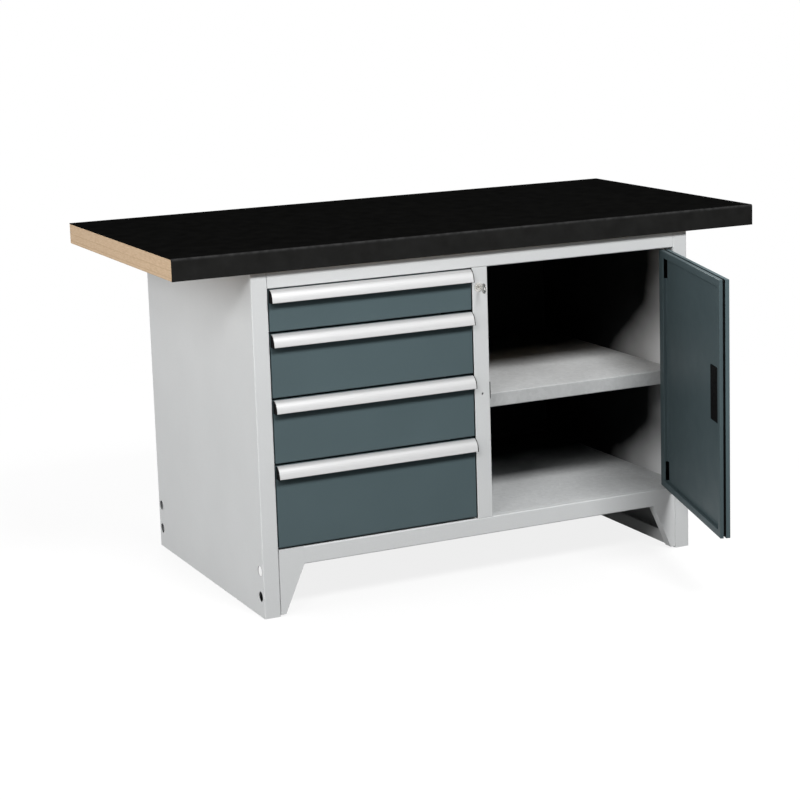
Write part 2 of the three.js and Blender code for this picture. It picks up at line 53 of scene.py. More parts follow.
SHEET = 0.0015
DRAWERS = ("drawer_1", "drawer_2", "drawer_3", "drawer_4")
ALONG_X = Matrix(((0, 0, 1, 0), (1, 0, 0, 0), (0, 1, 0, 0), (0, 0, 0, 1)))
UPRIGHT = Matrix(((1, 0, 0, 0), (0, 0, 1, 0), (0, 1, 0, 0), (0, 0, 0, 1)))


# Mesh helpers

WELD_DISTANCE = 1e-6
LEAST_CORNER = 0.0004
CORNER_STEPS = 4
HOLE_CORNER = 0.0015
CUT_EDGE = 0.0012


def clean(bm):
    """Welds doubled points and turns the faces outwards."""
    bmesh.ops.remove_doubles(bm, verts=bm.verts, dist=WELD_DISTANCE)
    bmesh.ops.recalc_face_normals(bm, faces=bm.faces)


def add_piece(name, bm, material, body, replaced=(), sharp=35):
    """Makes an object of the mesh, lets it ride on a body and hides the nodes it stands for."""
    clean(bm)
    mesh = bpy.data.meshes.new(name)
    bm.to_mesh(mesh)
    bm.free()
    mesh.shade_smooth()
    mesh.set_sharp_from_angle(angle=math.radians(sharp))
    mesh.materials.append(material)
    piece = bpy.data.objects.new(name, mesh)
    scene.collection.objects.link(piece)
    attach(piece, body)
    if replaced:
        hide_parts(*replaced)
    return piece


def soften(piece, width, angle):
    """Bevels all edges that are sharper than the angle in degrees."""
    bevel = piece.modifiers.new("soft_edges", "BEVEL")
    bevel.width = width
    bevel.segments = 2
    bevel.limit_method = "ANGLE"
    bevel.angle_limit = math.radians(angle)
    return bevel


def rounded(points, radius, steps=5):
    """A path whose inner corners are rounded."""
    path = [Vector(points[0])]
    for before, corner, after in zip(points, points[1:], points[2:]):
        corner = Vector(corner)
        back = Vector(before) - corner
        ahead = Vector(after) - corner
        reach = radius / math.tan(back.angle(ahead) / 2)
        reach = min(reach, back.length * 0.49, ahead.length * 0.49)
        start = corner + back.normalized() * reach
        end = corner + ahead.normalized() * reach
        for i in range(steps + 1):
            t = i / steps
            path.append(start.lerp(corner, t).lerp(corner.lerp(end, t), t))
    path.append(Vector(points[-1]))
    return path


def frame_loop(bm, rect, inset, depth, corner, place):
    """A ring of points round a rectangle with round corners, at one inset and one depth."""
    x0, x1, z0, z1 = rect
    r = max(corner - inset, LEAST_CORNER)
    x0, x1, z0, z1 = x0 + inset + r, x1 - inset - r, z0 + inset + r, z1 - inset - r
    loop = []
    for cx, cz, start in ((x1, z1, 0), (x0, z1, 90), (x0, z0, 180), (x1, z0, 270)):
        for i in range(CORNER_STEPS + 1):
            turn = math.radians(start + 90 / CORNER_STEPS * i)
            spot = Vector((cx + r * math.cos(turn), depth, cz + r * math.sin(turn)))
            loop.append(bm.verts.new(place @ spot))
    return loop


def bridge(bm, a, b):
    """Joins two rings that have as many points as each other."""
    for i in range(len(a)):
        j = (i + 1) % len(a)
        bm.faces.new((a[i], a[j], b[j], b[i]))


def fill(bm, loops):
    """Closes the first ring, with the other rings as holes in it."""
    if len(loops) == 1:
        bm.faces.new(loops[0])
        return
    edges = []
    for loop in loops:
        for i, vert in enumerate(loop):
            other = loop[(i + 1) % len(loop)]
            edges.append(bm.edges.get((vert, other)) or bm.edges.new((vert, other)))
    bmesh.ops.triangle_fill(bm, use_beauty=True, edges=edges)


def tray(bm, rect, path, corner=0.002, holes=(), place=Matrix(), wide=(1.0, 0.0)):
    """A folded pan: the path of (inset, depth) runs round the rectangle, closed at both ends.

    Past the first inset in wide, the right-hand side is held back by the second length more.
    """
    loops = []
    for inset, depth in path:
        x0, x1, z0, z1 = rect
        if inset > wide[0]:
            x1 -= wide[1]
        loops.append(frame_loop(bm, (x0, x1, z0, z1), inset, depth, corner, place))
    for a, b in zip(loops, loops[1:]):
        bridge(bm, a, b)
    first, last = [loops[0]], [loops[-1]]
    for hole in holes:
        near = frame_loop(bm, hole, 0, path[0][1], HOLE_CORNER, place)
        far = frame_loop(bm, hole, 0, path[-1][1], HOLE_CORNER, place)
        bridge(bm, near, far)
        first.append(near)
        last.append(far)
    fill(bm, first)
    fill(bm, last)


def slab(bm, outline, holes, low, high, place):
    """A flat shape with holes, pulled from low to high along its third axis."""
    lines = (outline, *holes)
    ends = [[[bm.verts.new(place @ Vector((u, v, w))) for u, v in line] for line in lines]
            for w in (low, high)]
    for a, b in zip(*ends):
        bridge(bm, a, b)
    for end in ends:
        fill(bm, end)


def circle(cu, cv, radius, steps=40):
    """Points round a centre."""
    spokes = [2 * math.pi * i / steps for i in range(steps)]
    return [(cu + radius * math.cos(a), cv + radius * math.sin(a)) for a in spokes]


def lathe(bm, path, place, steps=32):
    """Turns a path of (radius, height) about local Z. A radius of zero closes an end."""
    rings = []
    for radius, height in path:
        spots = circle(0, 0, radius, steps) if radius else [(0, 0)]
        rings.append([bm.verts.new(place @ Vector((u, v, height))) for u, v in spots])
    for a, b in zip(rings, rings[1:]):
        if len(a) > 1 and len(b) > 1:
            bridge(bm, a, b)
            continue
        tip, ring = (a[0], b) if len(a) == 1 else (b[0], a)
        for i in range(len(ring)):
            bm.faces.new((tip, ring[i], ring[(i + 1) % len(ring)]))


def brick(bm, low, high, edge=0.0005):
    """A box between two corners, with softened edges."""
    made = bmesh.ops.create_cube(bm, size=1)["verts"]
    low, high = Vector(low), Vector(high)
    for vert in made:
        vert.co = Vector(low[i] + (vert.co[i] + 0.5) * (high[i] - low[i]) for i in range(3))
    edges = list({e for v in made for e in v.link_edges})
    bmesh.ops.bevel(bm, geom=edges, offset=edge, segments=2, affect="EDGES", profile=0.5)


def carve(bm, boxes, place):
    """Cuts boxes, each given by two corners, out of a closed mesh."""
    clean(bm)
    tools = [bmesh.new() for box in boxes]
    for tool, box in zip(tools, boxes):
        brick(tool, *box, CUT_EDGE)
        tool.transform(place)
    helpers = []
    for source in (bm, *tools):
        mesh = bpy.data.meshes.new("helper")
        source.to_mesh(mesh)
        helpers.append(bpy.data.objects.new("helper", mesh))
        scene.collection.objects.link(helpers[-1])
    for cutter, tool in zip(helpers[1:], tools):
        tool.free()
        step = helpers[0].modifiers.new("cut", "BOOLEAN")
        step.operation = "DIFFERENCE"
        step.solver = "EXACT"
        step.object = cutter
    view = bpy.context.evaluated_depsgraph_get()
    carved = bpy.data.meshes.new_from_object(helpers[0].evaluated_get(view))
    bm.clear()
    bm.from_mesh(carved)
    for mesh in [carved, *[helper.data for helper in helpers]]:
        bpy.data.meshes.remove(mesh)


# Materials

class Finish:
    """A procedural material on one shader, in the object's own coordinates."""

    def __init__(self, name, **sockets):
        self.material = bpy.data.materials.new(name)
        self.material.use_nodes = True
        self.tree = self.material.node_tree
        self.tree.nodes.clear()
        self.shader = self.node("ShaderNodeBsdfPrincipled")
        self.surface = self.node("ShaderNodeOutputMaterial").inputs["Surface"]
        self.join(self.shader.outputs["BSDF"], self.surface)
        self.coordinates = self.node("ShaderNodeTexCoord").outputs["Object"]
        for key, value in sockets.items():
            self.shader.inputs[key.replace("_", " ")].default_value = value

    def node(self, kind):
        return self.tree.nodes.new(kind)

    def join(self, start, end):
        self.tree.links.new(start, end)

    def stretched(self, stretch):
        mapping = self.node("ShaderNodeMapping")
        mapping.inputs["Scale"].default_value = stretch
        self.join(self.coordinates, mapping.inputs["Vector"])
        return mapping.outputs["Vector"]

    def noise(self, scale, detail=2.0, stretch=None, roughness=0.5):
        texture = self.node("ShaderNodeTexNoise")
        texture.inputs["Scale"].default_value = scale
        texture.inputs["Detail"].default_value = detail
        texture.inputs["Roughness"].default_value = roughness
        source = self.stretched(stretch) if stretch else self.coordinates
        self.join(source, texture.inputs["Vector"])
        return texture.outputs["Fac"]

    def cells(self, scale, output="Distance"):
        texture = self.node("ShaderNodeTexVoronoi")
        texture.inputs["Scale"].default_value = scale
        self.join(self.coordinates, texture.inputs["Vector"])
        return texture.outputs[output]

    def split(self, vector):
        node = self.node("ShaderNodeSeparateXYZ")
        self.join(vector, node.inputs[0])
        return node.outputs

    def axis(self, name, low, high):
        """Zero at the low coordinate and one at the high one, which may lie either way round."""
        return self.spread(self.split(self.coordinates)[name], low, high, 0.0, 1.0)

    def spread(self, value, from_low, from_high, low, high, kind="LINEAR"):
        """Maps one range of a value to another and holds it there at both ends."""
        node = self.node("ShaderNodeMapRange")
        node.interpolation_type = kind
        node.inputs["From Min"].default_value = from_low
        node.inputs["From Max"].default_value = from_high
        node.inputs["To Min"].default_value = low
        node.inputs["To Max"].default_value = high
        self.join(value, node.inputs["Value"])
        return node.outputs["Result"]

    def math(self, kind, a, b):
        node = self.node("ShaderNodeMath")
        node.operation = kind
        self.join(a, node.inputs[0])
        self.join(b, node.inputs[1])
        return node.outputs[0]

    def product(self, a, b):
        return self.math("MULTIPLY", a, b)

    def total(self, a, b):
        return self.math("ADD", a, b)

    def larger(self, a, b):
        return self.math("MAXIMUM", a, b)

    def ramp(self, value, *stops):
        """Colours along a value, from (position, colour) pairs. A single number is a grey."""
        node = self.node("ShaderNodeValToRGB")
        marks = node.color_ramp.elements
        while len(marks) < len(stops):
            marks.new(1.0)
        for mark, (place, colour) in zip(marks, stops):
            if isinstance(colour, float):
                colour = (colour,) * 3
            mark.position = place
            mark.color = (*colour, 1.0)
        self.join(value, node.inputs["Fac"])
        return node.outputs["Color"]

    def mix(self, kind, amount, a, b):
        """Blends two colours by a fixed amount or by a socket."""
        node = self.node("ShaderNodeMix")
        node.data_type = "RGBA"
        node.blend_type = kind
        if isinstance(amount, float):
            node.inputs[0].default_value = amount
        else:
            self.join(amount, node.inputs[0])
        self.join(a, node.inputs[6])
        self.join(b, node.inputs[7])
        return node.outputs[2]

    def colour(self, socket):
        self.join(socket, self.shader.inputs["Base Color"])

    def coat(self):
        """What colours the shader so far."""
        return self.shader.inputs["Base Color"].links[0].from_socket

    def rough(self, value, low, high):
        self.join(self.spread(value, 0.3, 0.7, low, high), self.shader.inputs["Roughness"])

    def bump(self, height, strength, distance):
        node = self.node("ShaderNodeBump")
        node.inputs["Strength"].default_value = strength
        node.inputs["Distance"].default_value = distance
        self.join(height, node.inputs["Height"])
        self.join(node.outputs["Normal"], self.shader.inputs["Normal"])


def shade(colour, factor):
    """The colour made darker or lighter."""
    return tuple(min(1.0, c * factor) for c in colour)


def powder_coat(name, colour, rough=(0.44, 0.52), spread=0.018, gloss=0.3):
    """Sprayed and baked paint: slow drift in tone, a fine speckle and an orange-peel skin."""
    finish = Finish(name, Specular_IOR_Level=gloss)
    dull, bright = shade(colour, 1 - spread), shade(colour, 1 + spread)
    drift = finish.ramp(finish.noise(5, 4), (0.3, dull), (0.7, bright))
    speckle = finish.ramp(finish.noise(1100, 1), (0.3, 0.94), (0.7, 1.0))
    finish.colour(finish.mix("MULTIPLY", 1.0, drift, speckle))
    finish.rough(finish.noise(16, 3), *rough)
    finish.bump(finish.noise(620, 2), 0.10, 0.0004)
    return finish


LIGHT_GREY = (0.66, 0.672, 0.675)
ANTHRACITE = (0.084, 0.119, 0.129)
# The door's inner face: anthracite darkened as painted shade
SHADED_LINING = shade(ANTHRACITE, 0.74)
# Near-black colour painted in as shade, and the low gloss of the materials that carry it
PAINTED_SHADE_DARK = (0.008, 0.0085, 0.009)
SHADED_COAT_GLOSS = 0.06

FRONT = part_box("top_front_rail")[0].y

# Depths under one face of a sheet, between which its paint gives way to that of the other face
NEAR_SKIN, FAR_SKIN = 0.0006, 0.0009

# How far behind the front the painted shade begins and becomes whole, on flat sheets and on the
# wall
SHEET_FADE = (0.30, 0.54)
WALL_FADE = (0.11, 0.37)
WALL_LEAN = 0.18

# Heights over which the painted shade on the wall reaches further forward in each compartment,
# and draws back at the shelf
LOWER_FALL = (0.15, 0.30)
SHELF_RISE = (0.40, 0.43)
UPPER_FALL = (0.43, 0.62)


def over_painted_shade(finish, cover):
    """Painted shade: a near-black colour takes the place of the light coat wherever the cover
    value falls.
    """
    coat = finish.coat()
    dark, pale = shade(PAINTED_SHADE_DARK, 0.8), shade(PAINTED_SHADE_DARK, 1.3)
    painted_dark = finish.ramp(finish.noise(9, 4), (0.3, dark), (0.7, pale))
    finish.colour(finish.mix("MIX", cover, painted_dark, coat))
    return finish.material


def back_paint():
    """The rear wall: light grey outside; the face that looks into the body is painted near-black
    as painted shade.
    """
    finish = powder_coat("rear_wall_paint", LIGHT_GREY, gloss=SHADED_COAT_GLOSS)
    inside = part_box("back_panel")[0].y
    return over_painted_shade(finish, finish.axis("Y", inside + NEAR_SKIN, inside + FAR_SKIN))


def painted_depth_shade(finish, fade, lean=0.0):
    """Painted shade inside the cabinet: the coat is whole in front and gives way to the
    near-black colour towards the back.

    With a lean, the painted shade starts nearer the front near the top of each of the two
    compartments.
    """
    place = finish.split(finish.coordinates)
    depth = finish.spread(place["Y"], FRONT, FRONT + 1.0, 0.0, 1.0)
    if lean:
        lower = finish.spread(place["Z"], *LOWER_FALL, 0.0, lean, "SMOOTHSTEP")
        shelf = finish.spread(place["Z"], *SHELF_RISE, 0.0, -lean)
        upper = finish.spread(place["Z"], *UPPER_FALL, 0.0, lean, "SMOOTHSTEP")
        depth = finish.total(finish.total(depth, lower), finish.total(shelf, upper))
    patchy = finish.spread(finish.noise(7, 3), 0.3, 0.7, 0.96, 1.04)
    return finish.spread(finish.product(depth, patchy), *fade, 1.0, 0.0)


def side_paint():
    """Right side: plain coat outside; inside, a paler copy of the coat as painted light, giving
    way to painted shade towards the back.
    """
    finish = powder_coat("cabinet_side_paint", LIGHT_GREY, gloss=SHADED_COAT_GLOSS)
    coat = finish.coat()
    # Paler copy of the coat: painted light on the inner face
    painted_light_coat = finish.ramp(finish.noise(5, 4), (0.3, 0.90), (0.7, 0.94))
    skin, rear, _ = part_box("right_side_panel")[1]
    floor_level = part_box("body_floor")[1].z
    outside = finish.axis("X", skin - FAR_SKIN, skin - NEAR_SKIN)
    for face in (finish.axis("Y", rear - FAR_SKIN, rear - NEAR_SKIN),
                 finish.axis("Z", floor_level - 0.0010, floor_level - 0.0040),
                 finish.axis("Y", FRONT + 0.0030, FRONT + 0.0018)):
        outside = finish.larger(outside, face)
    finish.colour(finish.mix("MIX", outside, painted_light_coat, coat))
    return over_painted_shade(finish, finish.larger(outside, painted_depth_shade(finish, WALL_FADE, WALL_LEAN)))


def post_paint():
    """Partition: light grey on the post; painted shade deeper in the cabinet, and near-black
    painted shade on the faces by the drawers, in the gaps.
    """
    finish = powder_coat("partition_paint", LIGHT_GREY, gloss=SHADED_COAT_GLOSS)
    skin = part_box("centre_partition")[0].x
    front = finish.axis("Y", FRONT + 0.0024, FRONT + 0.0012)
    inner = finish.axis("X", skin + 0.0004, skin + 0.0008)
    inner = finish.product(inner, painted_depth_shade(finish, SHEET_FADE))
    return over_painted_shade(finish, finish.larger(front, inner))


def shelf_paint(name, sheet_node, tone):
    """Thin light grey coat over galvanised sheet, whose spangle still shows through; the tone per
    sheet is painted light or shade, the front lip is painted shade, and painted shade falls
    towards the back.
    """
    finish = powder_coat(name, shade(LIGHT_GREY, tone), (0.38, 0.56), 0.06, SHADED_COAT_GLOSS)
    base = finish.coat()
    spangle = finish.ramp(finish.cells(110, "Color"), (0.1, 0.88), (0.9, 1.0))
    sheet = finish.mix("MULTIPLY", 0.8, base, spangle)
    # Painted shade: the front lip is darker than the top
    lip = finish.ramp(finish.noise(12, 3), (0.3, 0.72), (0.7, 0.76))
    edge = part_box(sheet_node)[0].y
    at_lip = finish.axis("Y", edge + 0.0016, edge + 0.0008)
    finish.colour(finish.mix("MULTIPLY", at_lip, sheet, lip))
    return over_painted_shade(finish, painted_depth_shade(finish, SHEET_FADE))


def zinc_plate(name, tone=1.0):
    """Zinc with a faint spangle, blackened by a low tone."""
    finish = Finish(name, Metallic=1.0)
    dull, bright = shade((0.50, 0.52, 0.53), tone), shade((0.66, 0.68, 0.69), tone)
    spangle = finish.ramp(finish.cells(160, "Color"), (0.1, dull), (0.9, bright))
    haze = finish.ramp(finish.noise(30, 4), (0.3, 0.88), (0.7, 1.0))
    finish.colour(finish.mix("MULTIPLY", 1.0, spangle, haze))
    finish.rough(finish.noise(60, 3), 0.34, 0.50)
    finish.bump(finish.noise(420, 2, (0.1, 1, 1)), 0.06, 0.0003)
    return finish.material


def nickel_plate():
    """Bright plating with fine wear."""
    finish = Finish("nickel_plate", Metallic=1.0)
    dull, bright = (0.62, 0.61, 0.58), (0.74, 0.73, 0.70)
    finish.colour(finish.ramp(finish.noise(90, 3), (0.3, dull), (0.7, bright)))
    finish.rough(finish.noise(250, 3), 0.16, 0.30)
    finish.bump(finish.noise(1500, 2), 0.04, 0.0002)
    return finish.material


def anodised_grip():
    """Extruded aluminium, satin anodised, with fine drawing lines; painted shade darkens the
    upward-facing crown, leaving the front-facing lip paler.
    """
    finish = Finish("satin_anodised_aluminium", Metallic=0.3)
    lines = finish.noise(1, 5, (3, 1500, 1500), 0.6)
    dull, pale = (0.575, 0.577, 0.58), (0.655, 0.657, 0.66)
    bright = finish.ramp(lines, (0.3, dull), (0.7, pale))
    facing = finish.split(finish.node("ShaderNodeTexCoord").outputs["Normal"])
    # Painted shade on faces that look upwards, painted light on the faces towards the front
    crown = finish.ramp(facing["Z"], (0.05, 1.0), (0.45, 0.76), (0.75, 0.68), (0.95, 0.78))
    finish.colour(finish.mix("MULTIPLY", 1.0, bright, crown))
    finish.rough(finish.noise(20, 3, (0.2, 6, 6)), 0.48, 0.56)
    finish.bump(lines, 0.05, 0.0002)
    return finish.material


def moulded_black():
    """Dull black plastic with a fine moulded grain."""
    finish = Finish("moulded_black_plastic", Specular_IOR_Level=0.02)
    dark, pale = (0.0030, 0.0030, 0.0032), (0.0055, 0.0055, 0.0058)
    finish.colour(finish.ramp(finish.noise(300, 3), (0.3, dark), (0.7, pale)))
    finish.rough(finish.noise(120, 3), 0.48, 0.62)
    finish.bump(finish.cells(1300), 0.16, 0.0003)
    return finish.material


def worktop_black():
    """Dull black covering with a pebbled skin; the upright front face is painted paler as painted
    light, with a painted highlight along its front bend.
    """
    finish = Finish("black_worktop_covering", Specular_IOR_Level=0.0)

    def patchy(scale, detail, dark, pale):
        return finish.ramp(finish.noise(scale, detail), (0.3, dark), (0.7, pale))

    skin = patchy(30, 5, (0.0029, 0.0029, 0.0028), (0.0047, 0.0047, 0.0045))
    # Painted light: the upright front face is paler than the top
    upright = patchy(30, 5, (0.013, 0.013, 0.0125), (0.018, 0.018, 0.0175))
    # Painted highlight along the front bend
    bend_highlight = patchy(60, 4, 0.018, 0.042)
    low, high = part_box("worktop_cover")
    bend = finish.axis("Y", low.y + 0.006, low.y + 0.001)
    crown = finish.axis("Z", high.z - 0.007, high.z - 0.002)
    folded = finish.mix("MIX", bend, skin, upright)
    finish.colour(finish.mix("MIX", finish.product(bend, crown), folded, bend_highlight))
    finish.rough(finish.noise(40, 4), 0.58, 0.66)
    finish.bump(finish.cells(700), 0.14, 0.0003)
    return finish.material


def beech_core():
    """Beech plies glued flat: layers up the edge, grain along each, short pores at the ends."""
    finish = Finish("beech_multiplex")
    grain = finish.noise(1, 6, (9, 60, 420), 0.62)
    wood = finish.ramp(grain,
                       (0.28, (0.46, 0.312, 0.184)),
                       (0.50, (0.55, 0.388, 0.240)),
                       (0.72, (0.62, 0.458, 0.298)))
    layers = finish.noise(1, 0, (0.01, 0.01, 260))
    plies = finish.ramp(layers, (0.40, (0.80, 0.76, 0.70)), (0.52, 1.0))
    finish.colour(finish.mix("MULTIPLY", 0.75, wood, plies))
    finish.rough(finish.noise(1, 3, (20, 80, 300)), 0.52, 0.68)
    finish.bump(grain, 0.14, 0.0005)
    return finish.material


grey = powder_coat("light_grey_powder_coat", LIGHT_GREY).material
slate = powder_coat("anthracite_powder_coat", ANTHRACITE, (0.42, 0.50), 0.04, 0.06).material
# Darker anthracite on the door's inner face is painted shade
shaded_door_lining = powder_coat("anthracite_door_inside_shaded", SHADED_LINING, (0.46, 0.54), 0.04, 0.14).material
zinc = zinc_plate("zinc_plated_steel")
hinge_steel = zinc_plate("blackened_hinge_steel", 0.12)
nickel = nickel_plate()
aluminium = anodised_grip()
plastic = moulded_black()
covering = worktop_black()

FINISHES = {
    "worktop_core": beech_core(),
    "worktop_cover": covering,
    "back_panel": back_paint(),
    "right_side_panel": side_paint(),
    "centre_partition": post_paint(),
    # Tones above and below one are lit and shaded copies of the same coat: painted light on the
    # shelf, painted shade on the floor
    "shelf": shelf_paint("coated_shelf_sheet", "shelf", 1.03),
    "body_floor": shelf_paint("coated_floor_sheet", "body_floor", 0.98),
    "door_grip_shell": plastic,
    "door_edge_frame": plastic,
    "door_catch": plastic,
    "door_outer_pan": slate,
    "door_inner_panel": slate,
    "lock_cam": zinc,
}


def finish_of(name):
    """The material of a node: by its whole name, by its kind, or else light grey paint."""
    if name in FINISHES:
        return FINISHES[name]
    if name.endswith("_grip"):
        return aluminium
    if name.endswith("_cap"):
        return plastic
    if name.endswith("_front"):
        return slate
    if name.startswith("hinge_"):
        return hinge_steel
    if name.endswith("_shelf_rail"):
        return zinc
    if name.startswith("drawer_") and name.endswith("_rail"):
        return zinc
    if name.startswith("lock_"):
        return nickel
    return grey


for name, node in nodes.items():
    node.data.materials.clear()
    node.data.materials.append(finish_of(name))
    weld = node.modifiers.new("weld", "WELD")
    weld.merge_threshold = 1e-5
    bevel = soften(node, 0.0012 if name == "worktop_core" else 0.0004, 40)
    bevel.harden_normals = True


# Worktop covering, bent over the front edge

COVER = 0.002

low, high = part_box("worktop_cover")
top, front, back, under = high.z, low.y, high.y, low.z
outer = rounded([(back, top), (front, top), (front, under)], 0.005, 10)
inner = rounded([(front + COVER, under), (front + COVER, top - COVER), (back, top - COVER)],
                0.003, 10)
bm = bmesh.new()
slab(bm, [*outer, *inner], (), low.x, high.x, ALONG_X)
add_piece("worktop_covering", bm, covering, "bench_body", ("worktop_cover",))


# Drawers: folded fronts, drawn grip bars and tubs with hemmed rims

PAN_BEND, PAN_FLAT = 0.006, 0.012
GRIP_WALL = 0.002
GRIP_LEG = 0.022
GRIP_SWEEP, GRIP_STEPS = 87, 28
LIP_TURNS = (0.4, 0.8, 1.2, 1.57, 1.94, 2.34, 2.74)
TUB_SKIN = 0.0012
TUB_BEND, TUB_FLAT = 0.008, 0.012
HEM_WIDTH, HEM_HEIGHT = 0.0034, 0.009
RUNNER_WIDTH = 0.0125


def pan_path(face, edge):
    """Section of a folded pan: out along the inside of its face, round the fold and back."""
    inside = face + SHEET
    path = [(PAN_FLAT, inside)]
    path += rounded([(PAN_BEND, inside), (SHEET, inside), (SHEET, edge)], 0.001, 3)
    path += rounded([(0.0, edge), (0.0, face), (PAN_BEND, face)], 0.0025, 6)
    path.append((PAN_FLAT, face))
    return path


def add_front(drawer):
    """The folded front pan."""
    low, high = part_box(drawer + "_front")
    bm = bmesh.new()
    tray(bm, (low.x, high.x, low.z, high.z), pan_path(low.y, high.y), 0.0015)
    add_piece(drawer + "_folded_front", bm, slate, drawer,
              (drawer + "_front",))


def add_grip(drawer):
    """The grip bar: a quarter bow with a round lip, on a leg that lies against the front."""
    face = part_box(drawer + "_front")[0].y
    low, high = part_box(drawer + "_grip")
    reach, tall, wall = face - low.y, high.z - low.z, GRIP_WALL
    bow = [math.radians(90 + GRIP_SWEEP * i / GRIP_STEPS) for i in range(GRIP_STEPS + 1)]
    outside = [(face + reach * math.cos(a), low.z + tall * math.sin(a)) for a in bow]
    inside = [(face + (reach - wall) * math.cos(a), low.z + (tall - wall) * math.sin(a))
              for a in bow]
    lip_out, lip_in = Vector(outside[-1]), Vector(inside[-1])
    middle, spoke = (lip_out + lip_in) / 2, (lip_out - lip_in) / 2
    down = Vector((0.0, -1.0)) * spoke.length
    lip = [middle + spoke * math.cos(t) + down * math.sin(t) for t in LIP_TURNS]
    inside = [p for p in reversed(inside) if p[0] < face - wall]
    foot = high.z - GRIP_LEG
    leg = [(face - wall, inside[-1][1] + 0.0004), (face - wall, foot), (face, foot)]
    bm = bmesh.new()
    slab(bm, [*outside, *lip, *inside, *leg], (), low.x, high.x, ALONG_X)
    add_piece(drawer + "_grip_bar", bm, aluminium, drawer,
              (drawer + "_grip",), 30)


def add_tub(drawer):
    """The tub with its hemmed rim, and a runner strip on each side."""
    low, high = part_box(drawer + "_tub")
    skin, bottom, hem = TUB_SKIN, low.z + TUB_SKIN, high.z - HEM_HEIGHT
    path = [(TUB_FLAT, bottom)]
    path += rounded([(TUB_BEND, bottom), (skin, bottom), (skin, hem)], 0.0015, 3)
    path += rounded([(skin, hem), (HEM_WIDTH, hem), (HEM_WIDTH, high.z), (0.0, high.z),
                     (0.0, low.z), (TUB_BEND, low.z)], 0.0008, 3)
    path.append((TUB_FLAT, low.z))
    left, right = low.x + RUNNER_WIDTH, high.x - RUNNER_WIDTH
    bm = bmesh.new()
    tray(bm, (left, right, low.y, high.y), path, 0.002, (), UPRIGHT)
    rail_low, rail_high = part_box(drawer + "_left_rail")
    base = rail_low.z + SHEET + 0.0004
    crown = rail_high.z - SHEET - 0.001
    for x0, x1 in ((low.x, left), (right, high.x)):
        brick(bm, (x0, rail_low.y, base), (x1, rail_high.y, crown))
    add_piece(drawer + "_steel_tub", bm, grey, drawer, (drawer + "_tub",))


for drawer in DRAWERS:
    add_front(drawer)
    add_grip(drawer)
    add_tub(drawer)


# Door: two folded pans around a dark frame, given in the shut door's own place about its hinge

DOOR_ANGLE = math.radians(73)
DOOR_FACE = -0.008
DOOR_THICKNESS = 0.024
DOOR_LEFT, DOOR_RIGHT = -0.490, 0.010
SHELL_RECT = (-0.4603, -0.3957, 0.4147, 0.5413)
OUTER_FLANGE, INNER_FLANGE = 0.010, 0.008
RIM, RECESS = 0.016, 0.009
HINGE_SIDE = (0.012, 0.016)
SLOT_LEFT, SLOT_RIGHT = -0.0335, -0.0205
SLOT_HEIGHT, SLOT_INSET = 0.048, 0.019

hinge = next(joint for joint in frame["joints"] if joint["name"] == "door_hinge")
axis_spot = Vector(hinge["pos_m"])
door_place = (Matrix.Translation((axis_spot.x, axis_spot.y, 0))
              @ Matrix.Rotation(DOOR_ANGLE, 4, "Z"))
low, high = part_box("door_outer_pan")
door_rect = (DOOR_LEFT, DOOR_RIGHT, low.z, high.z)

bm = bmesh.new()
tray(bm, door_rect, pan_path(DOOR_FACE, DOOR_FACE + OUTER_FLANGE), 0.0015, (SHELL_RECT,),
     door_place)
add_piece("door_outer_skin", bm, slate, "door", ("door_outer_pan",))

back_face = DOOR_FACE + DOOR_THICKNESS
panel = back_face - RECESS
flange = back_face - INNER_FLANGE
middle = RIM + 0.0042
path = rounded([(middle, panel - SHEET), (RIM, panel - SHEET), (RIM, back_face - SHEET),
                (SHEET, back_face - SHEET), (SHEET, flange)], 0.001, 3)
path += rounded([(0.0, flange), (0.0, back_face), (RIM + SHEET, back_face),
                 (RIM + SHEET, panel), (middle, panel)], 0.0022, 5)
bm = bmesh.new()
tray(bm, door_rect, path, 0.0015, (SHELL_RECT,), door_place, HINGE_SIDE)
slots = [((SLOT_LEFT, panel - 2 * SHEET, z), (SLOT_RIGHT, back_face - 2 * SHEET, z + SLOT_HEIGHT))
         for z in (low.z + SLOT_INSET, high.z - SLOT_INSET - SLOT_HEIGHT)]
carve(bm, slots, door_place)
add_piece("door_inner_skin", bm, shaded_door_lining, "door", ("door_inner_panel",))


# Lock: turned housing, and a key with a cut blade

COLLAR = [(0.0063, 0.0006), (0.0069, 0.0), (0.0098, 0.0), (0.0106, 0.0003), (0.011, 0.0009),
          (0.011, 0.002), (0.009, 0.002), (0.009, 0.026), (0.0063, 0.026), (0.0063, 0.0006)]
KEY_BOW, BOW_STEPS = 0.012, 44
BLADE_HALF = 0.0035
RING_HOLE, RING_SHIFT = 0.0035, 0.0055
TEETH = [(0.0, 0.0008), (0.0025, 0.0035), (0.0045, 0.0020), (0.0065, 0.0035), (0.0085, 0.0012),
         (0.0105, 0.0035)]

low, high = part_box("lock_housing")
spot = Vector(((low.x + high.x) / 2, low.y, (low.z + high.z) / 2))
bm = bmesh.new()
lathe(bm, COLLAR, Matrix.Translation(spot) @ Matrix.Rotation(math.radians(-90), 4, "X"), 48)
add_piece("lock_collar", bm, nickel, "bench_body", ("lock_housing",))

